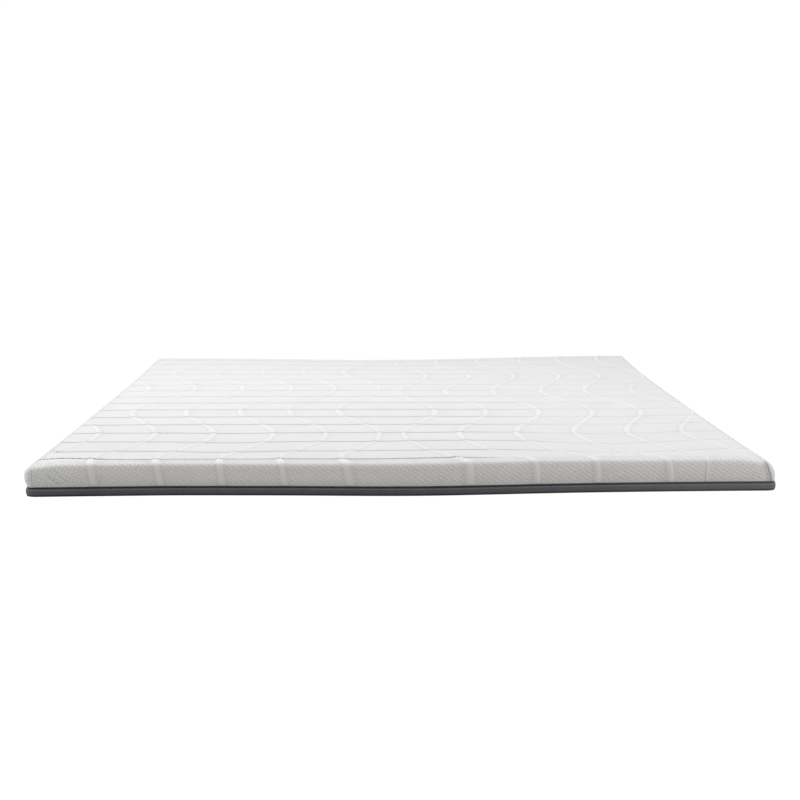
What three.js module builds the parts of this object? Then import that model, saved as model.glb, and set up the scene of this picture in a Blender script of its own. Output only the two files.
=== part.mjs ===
// A thin latex mattress in a knitted cover, lying flat.
// Millimetres. X runs across the bed, +Y to the head end, +Z up. The origin is the middle of the underside.
import * as THREE from 'three';

// Plan of the mattress: a rounded rectangle whose sides are drawn in a little between the corners
const halfWidth = 748;
const footEdge = -999;
const headEdge = 1001;
const cornerRadius = 25;
const cornerSteps = 3;
const flares = { left: { foot: 4, head: 9 }, right: { foot: 9, head: 9 } };

// The foot edge waves in and out and recedes to the right, and the head edge runs out to the right
const footWaves = [
  { x: 30, reach: 230, move: -18 },
  { x: -460, reach: 110, move: 3.5 },
  { x: -750, reach: 110, move: -4 },
];
const footRecess = { depth: 13, run: 700 };
const footSpread = { from: -886, run: 83 };
const headRun = { length: 10, from: 100, run: 600 };
const headSpread = { from: 400, run: 560 };
// Low down, the right side spreads outwards towards the foot corner
const rightLean = { out: 11, inner: 600, reach: 140, from: -500, run: 450, low: 20, rise: 40 };

// Heights of the layers
const panelTop = 2;
const bandTop = 15.3;
const tapeTop = 18.3;
const seat = 0.3;
const crownTop = 60;
const crownFall = 1;
const crownReach = 110;
// The top rises towards the foot edge, most of all right of the middle, and falls again to the two corners
const footLift = { rise: 3.4, from: -800, run: 140, inner: 640, taper: 85 };
const footCrest = { x: 230, reach: 260, rise: 2.4 };
// At the head end the corners stand a little higher, and the middle lies lower
const headLift = { corners: 3, middle: -6, reach: 420, from: 500, run: 480 };

// Raised wave ribs of the knit, which run along the bed
const ribHeight = 2;
const ribHalfWidth = 6;
const ribClear = 4;
const leftRibs = {
  places: [-722, -594, -463, -329, -210, -89], swing: 53, peak: 205, period: 809,
  drags: [38, 42, 42, 31, 36, 44],
};
const rightRibs = {
  places: [58, 183, 312, 443, 562, 687], swing: -43, peak: 131, period: 735,
  drags: [47, 54, 46, 62, 12, 38],
};
// Each rib's own drag pulls it across near the foot edge
const ribDragFrom = -820;
const ribDragRun = 220;

// Channels across the bed, one for each repeat of the knit, and one more close to the foot edge
const channelPitch = 125.5;
const headChannel = 934.5;
const channelCount = 15;
const footChannel = -936;
const channelSkew = -0.027;
const channelDepth = 2.2;
const channelHalfWidth = 7;
const channelPuff = 1;
const rightRise = { from: 550, run: 170, rise: 30 };
// Where the channels near the foot edge wander: place across the bed, reach to each side, and the move
const wanders = [
  { x: -370, reach: 90, move: -17 },
  { x: 160, reach: 150, move: 16 },
  { x: 450, reach: 110, move: -32 },
];
const wanderFrom = -450;
const wanderRun = 250;
// The channels next to the two ends follow those ends more than the others do
const endCalm = 0.3;

// Shoulder and wall of the cover: how far each ring lies outside the plan, and its height
const capInset = 18;
const wallFoot = 19;
const coreInset = 12;
const core = [
  { out: -coreInset, z: tapeTop + seat, plain: true },
  { out: -coreInset, z: panelTop + seat, plain: true },
];
// The shoulder is tight over the foot edge, and rounder along the sides and the head
const footWall = [
  { out: -8.5, z: 58.9 },
  { out: -3.2, z: 56.9 },
  { out: -0.4, z: 53 },
  { out: 0, z: 40 },
  { out: -1, z: 30 },
  { out: -3, z: wallFoot },
].concat(core);
const roundWall = [
  { out: -11.8, z: 57.9 },
  { out: -6.2, z: 54.6 },
  { out: -2, z: 49 },
  { out: 0, z: 40 },
  { out: -1, z: 30 },
  { out: -3, z: wallFoot },
].concat(core);
// Each corner has an upright seam, which draws its middle line in
const cornerSeam = { crease: 1.6, width: 0.01 };

// Sections of the strips round the foot, from the inside round the outside
const stripInset = coreInset - 2.8;
const bandSection = [
  { out: -stripInset, z: bandTop },
  { out: -stripInset, z: panelTop + seat },
  { out: -2.8, z: panelTop + seat },
  { out: -1, z: 8 },
  { out: -3, z: bandTop },
];
const tapeSection = [
  { out: -stripInset, z: tapeTop },
  { out: -stripInset, z: bandTop + seat },
  { out: -4.6, z: bandTop + seat },
  { out: -4.2, z: tapeTop },
];
const panelEdge = -3.6;
const stripPitch = 76;

const smooth = (t) => {
  const s = Math.min(Math.max(t, 0), 1);
  return s * s * (3 - 2 * s);
};
const hill = (distance, reach) => Math.exp(-((distance / reach) ** 2));

// Moves a point of the plain rounded rectangle to where it lies on the real, slightly uneven outline
function settle(x, y, z) {
  const side = x > 0 ? flares.right : flares.left;
  const flare = (y > 0 ? side.head : side.foot) * Math.abs(y / headEdge) ** 3;
  const footWave = footWaves.reduce((sum, w) => sum + w.move * hill(x - w.x, w.reach),
    footRecess.depth * smooth(x / footRecess.run));
  const footShare = smooth((footSpread.from - y) / footSpread.run);
  const headWave = headRun.length * smooth((x - headRun.from) / headRun.run);
  const headShare = smooth((y - headSpread.from) / headSpread.run);
  const nearSide = smooth((x - rightLean.inner) / rightLean.reach);
  const nearFoot = smooth((rightLean.from - y) / rightLean.run);
  const lean = rightLean.out * nearSide * nearFoot * (1 - smooth((z - rightLean.low) / rightLean.rise));
  return [x * (1 + flare / halfWidth) + lean, y + footWave * footShare + headWave * headShare, z];
}

function ribX(side, number, y) {
  const swing = side.swing * Math.cos((2 * Math.PI * (y - side.peak)) / side.period);
  return side.places[number] + swing + side.drags[number] * smooth((ribDragFrom - y) / ribDragRun);
}

function channelY(place, x) {
  const footShare = smooth((wanderFrom - place) / wanderRun);
  const wander = wanders.reduce((sum, w) => sum + w.move * hill(x - w.x, w.reach), 0);
  const calm = place === footChannel || place === headChannel ? endCalm : 1;
  const rise = rightRise.rise * smooth((x - rightRise.from) / rightRise.run);
  return place + calm * (channelSkew * x + rise + wander * footShare);
}

// Lines of points along the bed: the straight ones beside the corners, and three for each rib
const capX = halfWidth - capInset;
const capFoot = footEdge + capInset;
const capHead = headEdge - capInset;
const capRadius = cornerRadius - capInset;
const cornerOffsets = [];
for (let i = 0; i <= cornerSteps; i += 1) {
  cornerOffsets.push(capRadius * (1 - Math.tan((i / cornerSteps) * (Math.PI / 4))));
}
const edgeOffsets = [...cornerOffsets].reverse();

function makeColumns() {
  const columns = edgeOffsets.map((inset) => ({ at: () => -capX + inset, relief: () => 0 }));
  const crests = [leftRibs, rightRibs].flatMap((side) => side.places.map((_, number) => ({ side, number })));
  const lines = crests.flatMap((crest) => [-1, 0, 1].map((step) => ({ ...crest, step })));
  lines.forEach((line, i) => {
    const low = -capX + capRadius + ribClear * (i + 1);
    const high = capX - capRadius - ribClear * (lines.length - i);
    const wanted = (y) => ribX(line.side, line.number, y) + line.step * ribHalfWidth;
    const at = (y) => Math.min(Math.max(wanted(y), low), high);
    const fade = (y) => Math.max(0, 1 - Math.abs(at(y) - wanted(y)) / ribHalfWidth);
    columns.push({ at, relief: (y) => (line.step === 0 ? ribHeight * fade(y) : 0) });
  });
  return columns.concat(cornerOffsets.map((inset) => ({ at: () => capX - inset, relief: () => 0 })));
}

// Lines of points across the bed: beside the corners, three for each channel, and one on the puff between two
function makeRows() {
  const rows = edgeOffsets.map((inset) => ({ at: () => capFoot + inset, relief: 0 }));
  const places = [footChannel];
  for (let i = channelCount - 1; i >= 0; i -= 1) {
    places.push(headChannel - i * channelPitch);
  }
  places.forEach((place, i) => {
    if (i > 0) {
      const before = places[i - 1];
      rows.push({ at: (x) => (channelY(before, x) + channelY(place, x)) / 2, relief: channelPuff });
    }
    for (const step of [-1, 0, 1]) {
      const relief = step === 0 ? -channelDepth : 0;
      rows.push({ at: (x) => channelY(place, x) + step * channelHalfWidth, relief });
    }
  });
  return rows.concat(cornerOffsets.map((inset) => ({ at: () => capHead - inset, relief: 0 })));
}

// Turns the square corner of a grid into a quarter disc of the same radius
function roundCorner(x, y) {
  const dx = Math.abs(x) - (capX - capRadius);
  const dy = y < 0 ? capFoot + capRadius - y : y - (capHead - capRadius);
  if (dx <= 0 || dy <= 0) {
    return [x, y];
  }
  const pull = Math.max(dx, dy) / Math.hypot(dx, dy);
  return [Math.sign(x) * (capX - capRadius + dx * pull), y + Math.sign(y) * dy * (pull - 1)];
}

function outward(x, y) {
  const dx = Math.max(Math.abs(x) - (capX - capRadius), 0);
  const dy = Math.max(y < 0 ? capFoot + capRadius - y : y - (capHead - capRadius), 0);
  const length = Math.hypot(dx, dy);
  return [(Math.sign(x) * dx) / length, (Math.sign(y) * dy) / length];
}

function crownHeight(x, y) {
  const fromEdge = Math.min(capX - Math.abs(x), y - capFoot, capHead - y);
  const lift = headLift.corners + headLift.middle * hill(x, headLift.reach);
  const headShare = smooth((y - headLift.from) / headLift.run);
  const inner = 1 - smooth((Math.abs(x) - footLift.inner) / footLift.taper);
  const footShare = smooth((footLift.from - y) / footLift.run) * inner;
  const crest = footLift.rise + footCrest.rise * hill(x - footCrest.x, footCrest.reach);
  return crownTop - crownFall * (1 - smooth(fromEdge / crownReach)) + lift * headShare + crest * footShare;
}

// One ring of the wall where the outline faces (nx, ny); the ring before the first is the rim of the top
function wallStep(k, nx, ny) {
  if (k < 0) {
    return { out: -capInset, z: crownTop - crownFall };
  }
  const share = ny < 0 ? ny * ny : 0;
  const mix = (key) => roundWall[k][key] + (footWall[k][key] - roundWall[k][key]) * share;
  return { out: mix('out'), z: mix('z'), plain: footWall[k].plain };
}

function solid(name, color, roughness, points, triangles) {
  const geometry = new THREE.BufferGeometry();
  geometry.setAttribute('position', new THREE.Float32BufferAttribute(points.flat(), 3));
  geometry.setIndex(triangles.flat());
  geometry.computeVertexNormals();
  const mesh = new THREE.Mesh(geometry, new THREE.MeshStandardMaterial({ color, roughness, metalness: 0 }));
  mesh.name = name;
  return mesh;
}

// Two triangles for each stretch between one closed ring of points and the next one below or outside it
function joinRings(first, second, triangles) {
  first.forEach((a, i) => {
    const j = (i + 1) % first.length;
    triangles.push([a, second[i], second[j]], [a, second[j], first[j]]);
  });
}

const countFrom = (start, count) => Array.from({ length: count }, (_, i) => start + i);

function flatCap(ring, start, up, triangles) {
  const outline = ring.map(([x, y]) => new THREE.Vector2(x, y));
  for (const [a, b, c] of THREE.ShapeUtils.triangulateShape(outline, [])) {
    triangles.push(up ? [start + a, start + b, start + c] : [start + a, start + c, start + b]);
  }
}

// A column and a row both curve, so their crossing is found in a few passes
const crossingPasses = 6;

// The filled white cover: a grid of points for the top, and rings round it for the shoulders and walls
function knitCover() {
  const columns = makeColumns();
  const rows = makeRows();
  const grid = rows.map((row) => columns.map((column) => {
    let x = column.at(0);
    let y = row.at(x);
    for (let pass = 0; pass < crossingPasses; pass += 1) {
      x = column.at(y);
      y = row.at(x);
    }
    const [roundX, roundY] = roundCorner(x, y);
    return { x: roundX, y: roundY, relief: column.relief(y) + row.relief };
  }));

  const points = [];
  const triangles = [];
  const width = columns.length;
  for (const node of grid.flat()) {
    points.push(settle(node.x, node.y, crownHeight(node.x, node.y) + node.relief));
  }
  for (let r = 0; r + 1 < rows.length; r += 1) {
    for (let c = 0; c + 1 < width; c += 1) {
      const a = r * width + c;
      triangles.push([a, a + 1, a + width + 1], [a, a + width + 1, a + width]);
    }
  }

  const last = rows.length - 1;
  const across = countFrom(0, width - 1);
  const along = countFrom(0, last);
  const rim = [
    ...across,
    ...along.map((r) => r * width + width - 1),
    ...across.map((c) => last * width + width - 1 - c),
    ...along.map((r) => (last - r) * width),
  ];
  const nodes = grid.flat();

  let ring = rim;
  footWall.forEach((_, k) => {
    const start = points.length;
    for (const index of rim) {
      const node = nodes[index];
      const [nx, ny] = outward(node.x, node.y);
      const step = wallStep(k, nx, ny);
      const before = wallStep(k - 1, nx, ny);
      const after = wallStep(Math.min(k + 1, footWall.length - 1), nx, ny);
      const slope = Math.atan2(before.z - after.z, after.out - before.out);
      const onSeam = Math.abs(Math.abs(nx) - Math.abs(ny)) < cornerSeam.width;
      const relief = step.plain ? 0 : node.relief - (onSeam ? cornerSeam.crease : 0);
      const reach = capInset + step.out + relief * Math.sin(slope);
      const dip = crownHeight(node.x, node.y) - (crownTop - crownFall);
      const sink = dip * Math.max(0, (step.z - wallFoot) / (crownTop - wallFoot));
      const z = step.z + (step.plain ? 0 : relief * Math.max(0, Math.cos(slope)) + sink);
      points.push(settle(node.x + nx * reach, node.y + ny * reach, z));
    }
    const next = countFrom(start, rim.length);
    joinRings(ring, next, triangles);
    ring = next;
  });
  flatCap(points.slice(ring[0]), ring[0], false, triangles);
  return solid('knit_cover', 0xf2f2f0, 0.9, points, triangles);
}

// The plan outline as evenly spaced points, at a distance outside the plan and at one height
function outlineAt(out, z) {
  const straightX = halfWidth - cornerRadius;
  const foot = footEdge + cornerRadius;
  const head = headEdge - cornerRadius;
  const corners = [
    { x: straightX, y: foot, turn: -0.5 },
    { x: straightX, y: head, turn: 0 },
    { x: -straightX, y: head, turn: 0.5 },
    { x: -straightX, y: foot, turn: 1 },
  ];
  const ring = [];
  corners.forEach((corner, i) => {
    const next = corners[(i + 1) % corners.length];
    const steps = 2 * cornerSteps;
    for (let s = 0; s <= steps; s += 1) {
      const angle = Math.PI * (corner.turn + (0.5 * s) / steps);
      const radius = cornerRadius + out;
      ring.push(settle(corner.x + radius * Math.cos(angle), corner.y + radius * Math.sin(angle), z));
    }
    const run = Math.hypot(next.x - corner.x, next.y - corner.y);
    const pieces = Math.round(run / stripPitch);
    const angle = Math.PI * (corner.turn + 0.5);
    for (let s = 1; s < pieces; s += 1) {
      const x = corner.x + ((next.x - corner.x) * s) / pieces + (cornerRadius + out) * Math.cos(angle);
      const y = corner.y + ((next.y - corner.y) * s) / pieces + (cornerRadius + out) * Math.sin(angle);
      ring.push(settle(x, y, z));
    }
  });
  return ring;
}

// A closed strip that follows the outline, with the given section
function strip(name, color, roughness, section) {
  const points = section.flatMap((corner) => outlineAt(corner.out, corner.z));
  const count = points.length / section.length;
  const rings = section.map((_, k) => countFrom(k * count, count));
  const triangles = [];
  rings.forEach((ring, k) => joinRings(rings[(k + 1) % rings.length], ring, triangles));
  return solid(name, color, roughness, points, triangles);
}

function bottomPanel() {
  const outline = outlineAt(panelEdge, panelTop);
  const points = outline.concat(outlineAt(panelEdge, 0));
  const count = outline.length;
  const triangles = [];
  flatCap(outline, 0, true, triangles);
  joinRings(countFrom(0, count), countFrom(count, count), triangles);
  flatCap(outline, count, false, triangles);
  return solid('bottom_panel', 0x3a3c40, 0.95, points, triangles);
}

const group = new THREE.Group();
group.add(knitCover());
group.add(strip('seam_tape', 0x2b2d33, 0.9, tapeSection));
group.add(strip('side_band', 0x4c4f55, 0.95, bandSection));
group.add(bottomPanel());

// The origin goes to the middle of the plan
const middle = new THREE.Box3().setFromObject(group).getCenter(new THREE.Vector3());
group.position.set(-middle.x, -middle.y, 0);
export default group;
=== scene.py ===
# A thin latex mattress in a knitted cover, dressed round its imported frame.
# Shape numbers are millimetres in the plan of the frame, and every mesh is written in metres.
import math
import random

import bmesh
import bpy
from mathutils import Matrix, Vector, noise
from mathutils.bvhtree import BVHTree


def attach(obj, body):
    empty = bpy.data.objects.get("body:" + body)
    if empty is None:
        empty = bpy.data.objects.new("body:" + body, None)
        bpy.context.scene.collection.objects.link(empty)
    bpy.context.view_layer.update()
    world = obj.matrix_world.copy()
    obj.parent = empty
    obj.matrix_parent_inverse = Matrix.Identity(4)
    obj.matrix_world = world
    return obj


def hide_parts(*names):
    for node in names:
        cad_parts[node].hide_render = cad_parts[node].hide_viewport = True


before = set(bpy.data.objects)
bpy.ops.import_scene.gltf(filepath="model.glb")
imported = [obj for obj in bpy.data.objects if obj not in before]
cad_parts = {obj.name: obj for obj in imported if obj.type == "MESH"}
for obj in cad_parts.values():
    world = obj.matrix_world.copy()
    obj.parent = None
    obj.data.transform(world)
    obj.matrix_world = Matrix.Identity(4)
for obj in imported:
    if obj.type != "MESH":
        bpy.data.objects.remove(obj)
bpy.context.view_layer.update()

# The outline of the mattress, as in the frame
plan = {
    "halfWidth": 748, "foot": -999, "head": 1001, "corner": 25, "cornerSteps": 4,
    "shiftX": -4.969, "shiftY": 1.487,          # brings the middle of the plan to the origin
    "flares": {"left": {"foot": 4, "head": 5.5}, "right": {"foot": 9, "head": 12.5}},
    "footWaves": [(30, 230, -18), (-460, 110, 3.5), (-750, 110, -4)],      # place across, reach, move
    "footRecess": {"depth": 13, "run": 700},
    "footSpread": {"from": -886, "run": 83},
    "headRun": {"length": 10, "from": 100, "run": 600},
    "headSpread": {"from": 400, "run": 560},
    "lean": {"out": 9, "inner": 600, "reach": 140, "from": -500, "run": 450, "low": 20, "rise": 40},
    "draw": {"in": 2.5, "inner": 600, "reach": 140, "low": 20, "rise": 12},     # the left side, low down
}


def smooth(t):
    s = min(max(t, 0), 1)
    return s * s * (3 - 2 * s)


def hill(distance, reach):
    return math.exp(-(distance / reach) ** 2)


def between(a, b, share):
    return a + (b - a) * share


def settle(x, y, z):
    # moves a point of the plain rounded rectangle onto the slightly uneven outline, in metres
    side = plan["flares"]["right" if x > 0 else "left"]
    flare = side["head" if y > 0 else "foot"] * abs(y / plan["head"]) ** 3
    footWave = plan["footRecess"]["depth"] * smooth(x / plan["footRecess"]["run"])
    footWave += sum(move * hill(x - middle, reach) for middle, reach, move in plan["footWaves"])
    footShare = smooth((plan["footSpread"]["from"] - y) / plan["footSpread"]["run"])
    headWave = plan["headRun"]["length"] * smooth((x - plan["headRun"]["from"]) / plan["headRun"]["run"])
    headShare = smooth((y - plan["headSpread"]["from"]) / plan["headSpread"]["run"])
    lean = plan["lean"]
    nearSide = smooth((x - lean["inner"]) / lean["reach"])
    nearFoot = smooth((lean["from"] - y) / lean["run"])
    out = lean["out"] * nearSide * nearFoot * (1 - smooth((z - lean["low"]) / lean["rise"]))
    draw = plan["draw"]
    leftSide = smooth((-x - draw["inner"]) / draw["reach"])
    out += draw["in"] * leftSide * (1 - smooth((z - draw["low"]) / draw["rise"]))
    settledX = x * (1 + flare / plan["halfWidth"]) + out + plan["shiftX"]
    settledY = y + footWave * footShare + headWave * headShare + plan["shiftY"]
    return Vector((settledX, settledY, z)) * 0.001


# Node helpers: inputs are values or sockets, by name or by number
def addNode(tree, kind, inputs=None, **settings):
    node = tree.nodes.new("ShaderNode" + kind)
    for key, value in settings.items():
        setattr(node, key, value)
    for key, value in (inputs or {}).items():
        if isinstance(value, bpy.types.NodeSocket):
            tree.links.new(value, node.inputs[key])
        else:
            node.inputs[key].default_value = value
    return node


def calc(tree, operation, a, b=0.0, c=0.0):
    return addNode(tree, "Math", {0: a, 1: b, 2: c}, operation=operation).outputs[0]


def colour(red, green, blue):
    # an 8-bit screen colour as the shader's own linear one
    linear = [((c / 255 + 0.055) / 1.055) ** 2.4 if c > 10 else c / 3295 for c in (red, green, blue)]
    return (*linear, 1.0)


def ramp(tree, value, *stops):
    node = addNode(tree, "ValToRGB", {"Fac": value})
    elements = node.color_ramp.elements
    while len(elements) < len(stops):
        elements.new(0.5)
    for element, (position, shade) in zip(elements, stops):
        element.position = position
        element.color = shade
    return node.outputs["Color"]


def mixColour(tree, share, a, b, blend="MIX"):
    node = addNode(tree, "Mix", {0: share}, data_type="RGBA", blend_type=blend)
    for socket, value in ((node.inputs[6], a), (node.inputs[7], b)):
        if isinstance(value, bpy.types.NodeSocket):
            tree.links.new(value, socket)
        else:
            socket.default_value = value
    return node.outputs[2]


def attribute(tree, name):
    return addNode(tree, "Attribute", attribute_name=name).outputs["Fac"]


def fade(tree, value, near, far):
    # one where the value is below near, nothing beyond far
    return addNode(tree, "MapRange", {"Value": value, "From Min": near, "From Max": far, "To Min": 1.0,
                                      "To Max": 0.0}, interpolation_type="SMOOTHSTEP").outputs["Result"]


def objectPlace(tree):
    return addNode(tree, "TexCoord").outputs["Object"]


def newMaterial(name, **settings):
    material = bpy.data.materials.new(name)
    material.use_nodes = True
    tree = material.node_tree
    shader = tree.nodes["Principled BSDF"]
    for key, value in settings.items():
        shader.inputs[key.replace("_", " ")].default_value = value
    return material, tree, shader


def bump(tree, shader, height, distance, strength=1.0):
    node = addNode(tree, "Bump", {"Height": height, "Distance": distance, "Strength": strength})
    tree.links.new(node.outputs["Normal"], shader.inputs["Normal"])


def makeObject(name, bm, materials, isSmooth=True):
    mesh = bpy.data.meshes.new(name)
    bm.to_mesh(mesh)
    bm.free()
    piece = bpy.data.objects.new(name, mesh)
    bpy.context.scene.collection.objects.link(piece)
    for material in materials:
        mesh.materials.append(material)
    if isSmooth:
        mesh.shade_smooth()
    return piece


def ringEdges(bm, ring):
    return [bm.edges.get((vert, ring[(i + 1) % len(ring)])) for i, vert in enumerate(ring)]


def growRing(bm, ring, edges):
    # extrudes the edges of a closed ring, and gives the new verts in the order of the old ones
    inRing = set(ring)
    made = bmesh.ops.extrude_edge_only(bm, edges=edges)["geom"]
    partner = {}
    for vert in (v for v in made if isinstance(v, bmesh.types.BMVert)):
        for edge in vert.link_edges:
            if edge.other_vert(vert) in inRing:
                partner[edge.other_vert(vert)] = vert
    return [partner[vert] for vert in ring]


# The camera and the light
camera = {
    "place": (-0.0489, -4.1575, 0.616), "yaw": 0.84, "pitch": 7.66, "roll": -0.21,
    "lens": 72.3, "sensor": 36,
}
lights = [
    {"name": "overhead", "at": (-1.0, 0.6, 2.6), "to": (-0.6, -1.6, 0), "size": (3.2, 2.4),
     "power": 52.5, "tint": (0.995, 1.0, 1.035)},
    {"name": "frontFill", "at": (1.9, -1.8, 0.42), "to": (0.8, -1.0, 0.03), "size": (0.5, 0.4),
     "power": 5.2, "tint": (1.0, 0.985, 0.93)},
    {"name": "rightAbove", "at": (1.6, -0.4, 1.2), "to": (0.75, -0.3, 0), "size": (0.8, 1.8),
     "power": 3.0, "tint": (1.0, 1.0, 1.0)},
    {"name": "leftFill", "at": (-2.4, -1.22, 0.22), "to": (-0.75, -1.0, 0.03), "size": (0.7, 0.35),
     "power": 8, "tint": (1.0, 0.99, 0.96)},
]
surround = {"seen": 1.03, "cast": 0.55, "tint": (1.0, 1.0, 1.0, 1.0)}
floorLook = {
    "half": 14.0, "seenShare": 0.97, "glow": 1.03, "roughness": 0.95,
    "seen": (0.9, 0.9, 0.9, 1.0), "bounce": (0.36, 0.335, 0.31, 1.0),
}


def makeCamera():
    data = bpy.data.cameras.new("photoCamera")
    data.lens = camera["lens"]
    data.sensor_width = camera["sensor"]
    data.dof.use_dof = False
    holder = bpy.data.objects.new("photoCamera", data)
    turn = Matrix.Rotation(-math.radians(camera["yaw"]), 4, "Z")
    tilt = Matrix.Rotation(math.pi / 2 - math.radians(camera["pitch"]), 4, "X")
    roll = Matrix.Rotation(math.radians(camera["roll"]), 4, "Z")
    holder.matrix_world = Matrix.Translation(camera["place"]) @ turn @ tilt @ roll
    bpy.context.scene.collection.objects.link(holder)
    bpy.context.scene.camera = holder


def makeLights():
    for light in lights:
        data = bpy.data.lights.new(light["name"], "AREA")
        data.shape = "RECTANGLE"
        data.size, data.size_y = light["size"]
        data.energy = light["power"]
        data.color = light["tint"]
        lamp = bpy.data.objects.new(light["name"], data)
        aim = (Vector(light["to"]) - Vector(light["at"])).to_track_quat("-Z", "Y")
        lamp.matrix_world = Matrix.Translation(light["at"]) @ aim.to_matrix().to_4x4()
        lamp.visible_camera = False
        bpy.context.scene.collection.objects.link(lamp)
    world = bpy.data.worlds.new("studio")
    world.use_nodes = True
    tree = world.node_tree
    background = tree.nodes["Background"]
    background.inputs["Color"].default_value = surround["tint"]
    seen = addNode(tree, "LightPath").outputs["Is Camera Ray"]
    strength = calc(tree, "MULTIPLY_ADD", seen, surround["seen"] - surround["cast"], surround["cast"])
    tree.links.new(strength, background.inputs["Strength"])
    bpy.context.scene.world = world
    bpy.context.scene.view_settings.view_transform = "Standard"
    bpy.context.scene.view_settings.look = "None"


def makeFloor():
    bm = bmesh.new()
    bmesh.ops.create_grid(bm, x_segments=8, y_segments=8, size=floorLook["half"])
    material, tree, shader = newMaterial(
        "paleFloor", Roughness=floorLook["roughness"], Specular_IOR_Level=0.0,
        Base_Color=floorLook["seen"])
    output = tree.nodes["Material Output"]
    glow = addNode(tree, "Emission", {"Color": (1, 1, 1, 1), "Strength": floorLook["glow"]})
    seenFloor = addNode(tree, "MixShader", {
        0: floorLook["seenShare"], 1: shader.outputs[0], 2: glow.outputs[0]})
    bounce = addNode(tree, "BsdfDiffuse", {"Color": floorLook["bounce"]})
    seen = addNode(tree, "LightPath").outputs["Is Camera Ray"]
    whole = addNode(tree, "MixShader", {0: seen, 1: bounce.outputs[0], 2: seenFloor.outputs[0]})
    tree.links.new(whole.outputs[0], output.inputs["Surface"])
    floor = makeObject("floor", bm, [material], isSmooth=False)


makeCamera()
makeLights()
makeFloor()
print("camera, light and floor are set")

# The knitted cover: crown, ribs that wave along the bed, and sewn channels across it
cover = {
    "inset": 18, "crown": 60, "fall": 1, "fallReach": 110, "gapLines": 2, "clear": 5,
    "slack": 0.8,                                # how much smaller the cloth starts, before it swells
    "headLift": {"corners": 4.5, "middle": -9, "reach": 420, "from": 500, "run": 480},
    "footLift": {"rise": 3.4, "from": -800, "run": 140, "inner": 680, "taper": 55},
    "footPillow": {"rise": 2.6, "from": -934, "run": 28, "row": 22},     # from the last line to the edge
    "footCrest": {"x": 230, "reach": 260, "rise": 2.4},
    "footWall": [(-8.2, 59.1), (-3.4, 57.9), (-0.9, 54.9), (-0.1, 50.5), (0, 42), (-0.5, 32), (-1.5, 25.5),
                 (-2.4, 22.6), (-2, 20.6), (-3, 18.8)],
    "roundWall": [(-11.8, 57.9), (-6.4, 54.8), (-2.4, 50), (-0.5, 44.5), (0, 38), (-0.5, 31), (-1.5, 25.5),
                  (-2.4, 22.6), (-2, 20.6), (-3, 18.8)],
    "core": [(-6.5, 18.5), (-12, 18.5), (-12, 2.4)],
    "crossings": 6,
}
ribs = {                                                 # each rib's own drag pulls it across near the foot
    "height": 2.1, "edge": 0.8, "half": 5.4, "columnHalf": 6, "dragFrom": -850, "dragRun": 200,
    "left": {"places": [-722, -594, -463, -329, -210, -89], "drags": [38, 42, 42, 31, 36, 44],
             "swing": 53, "peak": 205, "period": 809},
    "right": {"places": [58, 183, 312, 443, 562, 687], "drags": [47, 54, 46, 62, 12, 38],
              "swing": -43, "peak": 131, "period": 735},
    "thin": {"place": 562, "from": -900, "run": 80, "more": 0.8},      # this one narrows at the foot
}
channels = {
    "pitch": 125.5, "head": 934.5, "count": 15, "foot": -931, "skew": -0.027, "half": 7,
    "cageDepth": 0.7, "puff": 0.3, "depth": 0.35, "reach": 3,
    "rise": {"from": 550, "run": 170, "rise": 30},
    "wanders": [(-370, 90, -17), (160, 150, 16), (450, 110, -32)],   # place across, reach, move
    "wanderFrom": -450, "wanderRun": 250, "endCalm": 0.3,
    "footRipples": [(-710, 75, 24), (-510, 60, -6.5), (-60, 100, -5.5), (230, 90, -15)],
    "footGroove": 1.5, "footReach": 2.4, "grooveEnd": (180, 130),
    "waver": 2.5, "waverLength": 85,
}
capX = plan["halfWidth"] - cover["inset"]
capFoot = plan["foot"] + cover["inset"]
capHead = plan["head"] - cover["inset"]
capRadius = plan["corner"] - cover["inset"]


def ribX(side, number, y):
    swing = side["swing"] * math.cos(2 * math.pi * (y - side["peak"]) / side["period"])
    drag = side["drags"][number] * smooth((ribs["dragFrom"] - y) / ribs["dragRun"])
    return side["places"][number] + swing + drag


def channelPlaces():
    rows = [channels["head"] - i * channels["pitch"] for i in range(channels["count"])]
    return [channels["foot"]] + rows[::-1]


def channelY(place, x):
    footShare = smooth((channels["wanderFrom"] - place) / channels["wanderRun"])
    wander = sum(move * hill(x - middle, reach) for middle, reach, move in channels["wanders"])
    lift = channels["rise"]["rise"] * smooth((x - channels["rise"]["from"]) / channels["rise"]["run"])
    calm = channels["endCalm"] if place in (channels["foot"], channels["head"]) else 1
    bent = place + calm * (channels["skew"] * x + lift + wander * footShare)
    if place == channels["foot"]:
        return bent + sum(move * hill(x - middle, reach) for middle, reach, move in channels["footRipples"])
    return bent + channels["waver"] * noise.noise(Vector((x / channels["waverLength"], place, 0.5)))


def crownHeight(x, y):
    fromEdge = min(capX - abs(x), y - capFoot, capHead - y)
    lift = cover["headLift"]
    rise = lift["corners"] + lift["middle"] * hill(x, lift["reach"])
    headShare = smooth((y - lift["from"]) / lift["run"])
    foot, crest = cover["footLift"], cover["footCrest"]
    footRise = foot["rise"] + crest["rise"] * hill(x - crest["x"], crest["reach"])
    inner = 1 - smooth((abs(x) - foot["inner"]) / foot["taper"])
    footShare = smooth((foot["from"] - y) / foot["run"]) * inner
    pillow = cover["footPillow"]
    pillowRise = pillow["rise"] * smooth((pillow["from"] - y) / pillow["run"]) * inner
    plainHeight = cover["crown"] - cover["fall"] * (1 - smooth(fromEdge / cover["fallReach"]))
    return plainHeight + rise * headShare + footRise * footShare + pillowRise


def cornerOffsets():
    steps = plan["cornerSteps"]
    return [capRadius * (1 - math.tan(i / steps * math.pi / 4)) for i in range(steps + 1)]


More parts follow.
